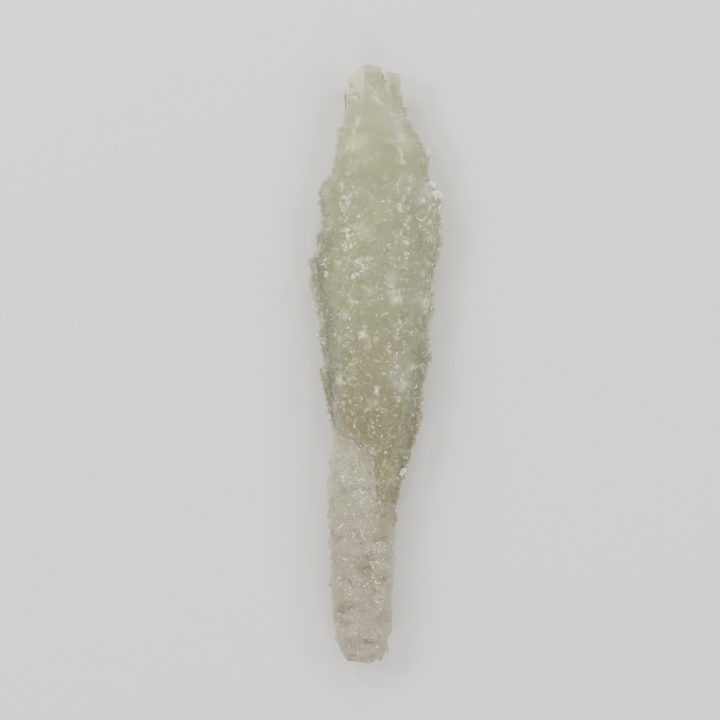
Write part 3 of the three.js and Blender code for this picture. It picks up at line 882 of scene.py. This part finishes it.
class CALCITE_OT_leaf(bpy.types.Operator):
    """Grow the small crystals of the leaf into its solid"""

    bl_idname = "calcite.leaf"
    bl_label = "Leaf"

    def execute(self, context):
        settings = context.scene.calcite_leaf
        rng = np.random.default_rng(SEED)
        skin = smooth_skin()
        leaf = self.core(skin)
        combine(leaf, self.body(settings, rng), "UNION")
        grow(leaf, self.crystals(leaf, skin, settings, rng))
        combine(leaf, resting_box(), "INTERSECT")
        combine(leaf, tip_slope(), "DIFFERENCE")
        finish_mesh(leaf, sharp_degrees=9)
        self.tint(leaf)
        leaf.data.materials.append(leaf_calcite(settings))
        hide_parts(NODE)
        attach(leaf, "root")
        return {"FINISHED"}

    def core(self, skin):
        """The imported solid's leaf with its big crystals, sunk in where the stalk's crust covers it."""
        core = solid_copy("calcite_leaf")
        combine(core, wide_box(y_from=LEAF_FROM, z_from=BACK_CUT), "INTERSECT")
        places = vertex_places(core)
        covered = np.clip(crust_share(places, 5 * MM) * 2 - 0.4, 0, 1)[:, None]
        move_vertices(core, places - outward(skin, places) * covered * 0.9 * MM)
        return core

    def crystals(self, leaf, skin, settings, rng):
        """The leaf's small crystals, those along its edges, and the larger ones of its face."""
        foot, middle, top = settings.spacing_foot, settings.spacing_middle, settings.spacing_top
        spacings = (foot, foot, (foot + middle) / 2, middle, top, top)

        def front_spacing_at(points):
            return along_growth(points, (-0.055, -0.03, 0.01, 0.05, 0.065, 0.1), spacings)

        def spacing_at(points):
            near_back = points[:, 2] < 0.006
            spacing = front_spacing_at(points) * np.where(near_back, 1.35, 1)
            return np.where(crust_share(points) < 0.4, spacing, 0)

        points = scatter(leaf, spacing_at, rng)
        count, widest_spacing = len(points), 2.6 * MM
        half_width = np.minimum(front_spacing_at(points), widest_spacing) * rng.uniform(0.3, 0.6, count)
        stand_out = settings.stand_out * rng.choice([0.3, 0.6, 1.0, 1.8], count, p=[0.35, 0.35, 0.2, 0.1])
        stand_out *= 1 + 1.5 * beside(points)
        lean = rng.uniform(settings.lean_least, settings.lean_most, count)
        forms = crystal_forms(rng)
        made = crystals(points, outward(skin, points), half_width, lean, stand_out, forms, rng)
        made += fringe(leaf, settings.rim_spacing, settings.rim_stand_out, (-0.048, 0.052), False, forms, rng)
        return made + self.face_crystals(leaf, forms, rng)

    def tint(self, leaf):
        """Where the leaf's colours lie, for its material: one attribute for each."""
        places = vertex_places(leaf)
        # Painted rim highlight: the pale rim along the outline, as seen from the front, is strongest where the faces
        # look up towards the lights, and weaker on the right side's lower part.
        facing = np.clip(0.25 + 1.5 * vertex_table(leaf, "normal")[:, 2], 0, 1)
        width = along_growth(places, (0.045, 0.065), (0.65, 0.9)) * MM
        facing *= np.where(places[:, 0] > 0, along_growth(places, (-0.015, -0.008), (0.3, 1)), 1)
        add_attribute(leaf, "rim_highlight_margin", rim_share(places, width) * facing)
        add_attribute(leaf, "cream", soft_spots(places, CREAM_SPOTS_MM))
        add_attribute(leaf, "veil", soft_spots(places, VEIL_SPOTS_MM))
        front = places[:, 2] > 0.011
        # Painted highlight: the larger face crystals are whitened a little on the front.
        crystal_highlight = [(x, y, half_width, 1) for x, y, half_width in FACE_CRYSTALS_MM if half_width > 0.95]
        add_attribute(leaf, "crystal_highlight", np.clip(4 * soft_spots(places, crystal_highlight) - 1.4, 0, 0.2) * front)
        # Painted glints: where the close specks lie.
        add_attribute(leaf, "glint_spots", soft_spots(places, GLINT_SPOTS_MM))
        add_attribute(leaf, "thin_band_shade", self.thin_bands(places))
        add_attribute(leaf, "crust", crust_tint_share(places))

    def thin_bands(self, places):
        """1 in the bands inside the leaf's edges where it is thinner and clearer than its rib, which are painted
        darker as shade.
        """
        inside = inside_outline(places) / MM
        across = np.clip(inside - 1.3, 0, 1) * np.clip((6.4 - inside) / 2.5, 0, 1)
        y = places[:, 1] / MM
        left = np.clip((y + 24) / 6, 0, 1) * np.clip((46 - y) / 6, 0, 1) * (places[:, 0] < 0)
        right = np.clip((y + 30) / 6, 0, 1) * np.clip((8 - y) / 6, 0, 1) * (places[:, 0] > 0)
        return across * np.maximum(left, right)

    def face_crystals(self, leaf, forms, rng):
        """The larger crystals of the leaf's face."""
        tree, well_above, down = skin_tree(leaf), 0.05, Vector((0, 0, -1))
        table = np.array(FACE_CRYSTALS_MM) * MM
        places = np.array([tree.ray_cast(Vector((x, y, well_above)), down)[0] for x, y, _ in table])
        outwards = np.array([(x * 12, 0, 1) for x, _, _ in table])
        count = len(table)
        stand_out = rng.uniform(0.35, 0.6, count) * MM
        return crystals(places, outwards, table[:, 2], np.radians(rng.uniform(15, 50, count)), stand_out, forms, rng)

    def body(self, settings, rng):
        """The leaf's body: the worn skin raised to fill the grooves between the big crystals, and finely grained."""
        body = solid_copy("leaf_body")
        combine(body, wide_box(y_from=BODY_FROM), "INTERSECT")
        rounded(body, cell=0.45 * MM, rounds=24)
        places, normals = vertex_places(body), vertex_table(body, "normal")
        smooth = body.modifiers.new("smooth", "SMOOTH")
        smooth.factor = 0.5
        smooth.iterations = 120
        apply_modifiers(body)
        most_filling = 1.2 * MM
        filling = ((vertex_places(body) - places) * normals).sum(axis=1).clip(0, most_filling)
        raised = along_growth(places, (-0.05, 0.0, 0.085, 0.096), (0.4, 0.6, 0.6, -0.8)) * MM
        inner = np.clip((inside_outline(places) - 0.6 * MM) / (4 * MM), 0, 1)
        raised = raised * inner - 0.3 * MM * (1 - inner)
        raised += 2.0 * filling
        near_crust = crust_share(places, 16 * MM)
        raised = raised * (1 - near_crust) + 0.1 * MM * near_crust
        waves = np.array([noise.fractal(Vector(p) / (3.5 * MM), 0.9, 2.0, 2) for p in places])
        under = np.clip(-2.5 * normals[:, 2] - 1.2, 0, 1) * (places[:, 2] < 1.5 * MM)
        raised = raised * (1 - under) + (0.6 * waves - 0.4) * MM * under
        raised = raised + 0.15 * MM * waves - np.clip(crust_share(places, 5 * MM) * 2 - 0.6, 0, 1) * 0.9 * MM
        move_vertices(body, places + normals * raised[:, None])
        coarse, fine = settings.grain_tip, settings.grain_foot

        def spacing_at(points):
            return along_growth(points, (-0.03, 0.03, 0.06), (fine, (fine + coarse) / 2, coarse))

        def steepness_at(points):
            steepness = along_growth(points, (-0.03, 0.03, 0.06, 0.075), (0.22, 0.17, 0.10, 0.04))
            return steepness + 0.16 * beside(points)

        return grained("leaf_body", body, spacing_at, steepness_at, rng)


class CALCITE_OT_druse(bpy.types.Operator):
    """Crust the stalk with sugar-fine crystals"""

    bl_idname = "calcite.druse"
    bl_label = "Druse"

    def execute(self, context):
        settings = context.scene.calcite_druse
        rng = np.random.default_rng(SEED + 1)

        def spacing_at(points):
            return np.full(len(points), settings.grain)

        def steepness_at(points):
            return np.full(len(points), settings.steepness)

        druse = grained("stalk_druse", self.core(settings), spacing_at, steepness_at, rng)
        grow(druse, self.crystals(druse, settings, rng))
        combine(druse, resting_box(), "INTERSECT")
        finish_mesh(druse, sharp_degrees=12)
        self.tint(druse)
        druse.data.materials.append(druse_calcite(settings, context.scene.calcite_leaf.foot))
        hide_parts(NODE)
        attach(druse, "root")
        return {"FINISHED"}

    def core(self, settings):
        """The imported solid's stalk, raised into soft lumps where the crust covers it and sunk in where it ends."""
        core = solid_copy("stalk")
        combine(core, wide_box(y_to=STALK_TO), "INTERSECT")
        rounded(core, cell=0.25 * MM, rounds=8)
        places, normals = vertex_places(core), vertex_table(core, "normal")
        share = crust_share(places)
        lumps, creases = lumps_and_creases(places, 0.07)
        uneven = along_growth(places, (-0.065, -0.045), (1.0, 0.5))
        uneven = uneven * np.clip(inside_outline(places) / (3 * MM), 0.3, 1)
        rise = settings.thickness + settings.lumps * uneven * (1.1 * lumps - 0.3 * creases) * share
        bare, nearly_bare = np.clip(1 - 2.5 * share, 0, 1), np.clip(1 - 1.4 * crust_share(places, 5 * MM), 0, 1)
        rise -= (bare * 0.6 + nearly_bare * 0.5) * MM
        move_vertices(core, places + normals * rise[:, None])
        return core

    def crystals(self, druse, settings, rng):
        """Small crystals along the stalk's edges, and sparse ones over the rest of its crust."""
        forms = crystal_forms(rng)
        made = fringe(druse, settings.rim_spacing, settings.rim_stand_out, (-0.096, -0.02), True, forms, rng)

        def spacing_at(points):
            return np.where(crust_share(points) > 0.7, 3.2 * MM, 0)

        points = scatter(druse, spacing_at, rng)
        half_width = rng.choice([0.4, 0.6, 0.9], len(points), p=[0.5, 0.4, 0.1]) * MM
        stand_out = half_width * rng.uniform(0.2, 0.6, len(points))
        lean = np.radians(rng.uniform(20, 60, len(points)))
        return made + crystals(points, outward(smooth_skin(), points), half_width, lean, stand_out, forms, rng)

    def tint(self, druse):
        """Where the druse's colours lie, for its material: one attribute for each."""
        places = vertex_places(druse)
        # Darker brown in the creases between the lumps, less towards the stalk's upper part, and in some spots.
        creases = lumps_and_creases(places, 0.10)[1]
        creases *= along_growth(places, (-0.065, -0.045), (0.6, 0.2))
        add_attribute(druse, "hollow", np.maximum(soft_spots(places, HOLLOW_SPOTS_MM), creases))
        # Painted rim highlight along the crust's outline, as seen from the front.
        add_attribute(druse, "rim_highlight_margin", 0.4 * np.clip(1 - inside_outline(places) / (0.6 * MM), 0, 1))
        add_attribute(druse, "crust", crust_tint_share(places) * (1 - soft_spots(places, OLIVE_SPOTS_MM)))


class CALCITE_OT_stage(bpy.types.Operator):
    """Set the floor, the soft lights and a camera that looks straight down"""

    bl_idname = "calcite.stage"
    bl_label = "Stage"

    def execute(self, context):
        settings = context.scene.calcite_stage
        scene = context.scene
        reach = 3
        corners = [(-reach, -reach), (reach, -reach), (reach, reach), (-reach, reach)]
        floor = mesh_object(
            "floor", np.array([(x, y, -FLOOR_GAP) for x, y in corners]), np.array([(0, 1, 2), (0, 2, 3)])
        )
        paper = bpy.data.materials.new("matt_paper")
        paper.use_nodes = True
        surface = paper.node_tree.nodes["Principled BSDF"]
        surface.inputs["Base Color"].default_value = rgba(settings.floor)
        surface.inputs["Roughness"].default_value = 0.9
        floor.data.materials.append(paper)

        world = bpy.data.worlds.new("studio")
        world.use_nodes = True
        sky = world.node_tree.nodes["Background"]
        sky.inputs["Color"].default_value = rgba(linear("#e6e8ea"))
        sky.inputs["Strength"].default_value = 0.72
        scene.world = world
        # Each light is its name, place, side length and power in watts. All of them face the leaf. The key light is
        # broad and isn't mirrored in the faces, and the small boxes are what the faces glint with.
        for name, place, size, power in (
            ("key", (-0.70, 0.45, 0.65), 0.7, 3.4),
            ("box 1", (-0.60, 0.20, 0.60), 0.20, 2.3),
            ("box 2", (-0.38, 0.52, 0.60), 0.20, 2.3),
            ("box 3", (0.05, 0.66, 0.56), 0.20, 2.3),
            ("box 4", (0.45, 0.45, 0.60), 0.20, 1.9),
            ("box 5", (0.66, 0.02, 0.56), 0.20, 1.9),
            ("box 6", (-0.30, -0.58, 0.58), 0.20, 1.9),
            ("box 7", (0.32, -0.58, 0.56), 0.20, 1.9),
        ):
            lamp = bpy.data.lights.new(name, "AREA")
            lamp.size = size
            lamp.energy = power
            lamp.color = linear("#fffdf6")
            holder = linked(name, lamp)
            holder.location = place
            holder.rotation_euler = (-Vector(place)).to_track_quat("-Z", "Y").to_euler()
            holder.visible_glossy = name != "key"

        view = bpy.data.cameras.new("camera")
        view.sensor_width = 36
        view.lens = settings.lens
        away = settings.across * settings.lens / view.sensor_width
        scene.camera = linked("camera", view)
        scene.camera.location = (-5.17 * MM, 0.88 * MM, 11 * MM + away)
        return {"FINISHED"}


class CALCITE_PT_panel(bpy.types.Panel):
    """The feather calcite's pieces"""

    bl_idname = "CALCITE_PT_panel"
    bl_label = "Feather calcite"
    bl_space_type = "VIEW_3D"
    bl_region_type = "UI"
    bl_category = "Calcite"

    def draw(self, context):
        for piece, operator in PIECES.items():
            self.layout.operator(operator.bl_idname)
            settings = getattr(context.scene, f"calcite_{piece}")
            for key in settings.__annotations__:
                self.layout.prop(settings, key)


PIECES = {"leaf": CALCITE_OT_leaf, "druse": CALCITE_OT_druse, "stage": CALCITE_OT_stage}
SETTINGS = {"leaf": LeafSettings, "druse": DruseSettings, "stage": StageSettings}


def register():
    for made in (*SETTINGS.values(), *PIECES.values(), CALCITE_PT_panel):
        bpy.utils.register_class(made)
    for piece, group in SETTINGS.items():
        setattr(bpy.types.Scene, f"calcite_{piece}", PointerProperty(type=group))


def unregister():
    for piece in SETTINGS:
        delattr(bpy.types.Scene, f"calcite_{piece}")
    for made in (CALCITE_PT_panel, *PIECES.values(), *SETTINGS.values()):
        bpy.utils.unregister_class(made)


def main():
    register()
    bpy.ops.calcite.leaf()
    bpy.ops.calcite.druse()
    bpy.ops.calcite.stage()


if __name__ == "__main__":
    main()
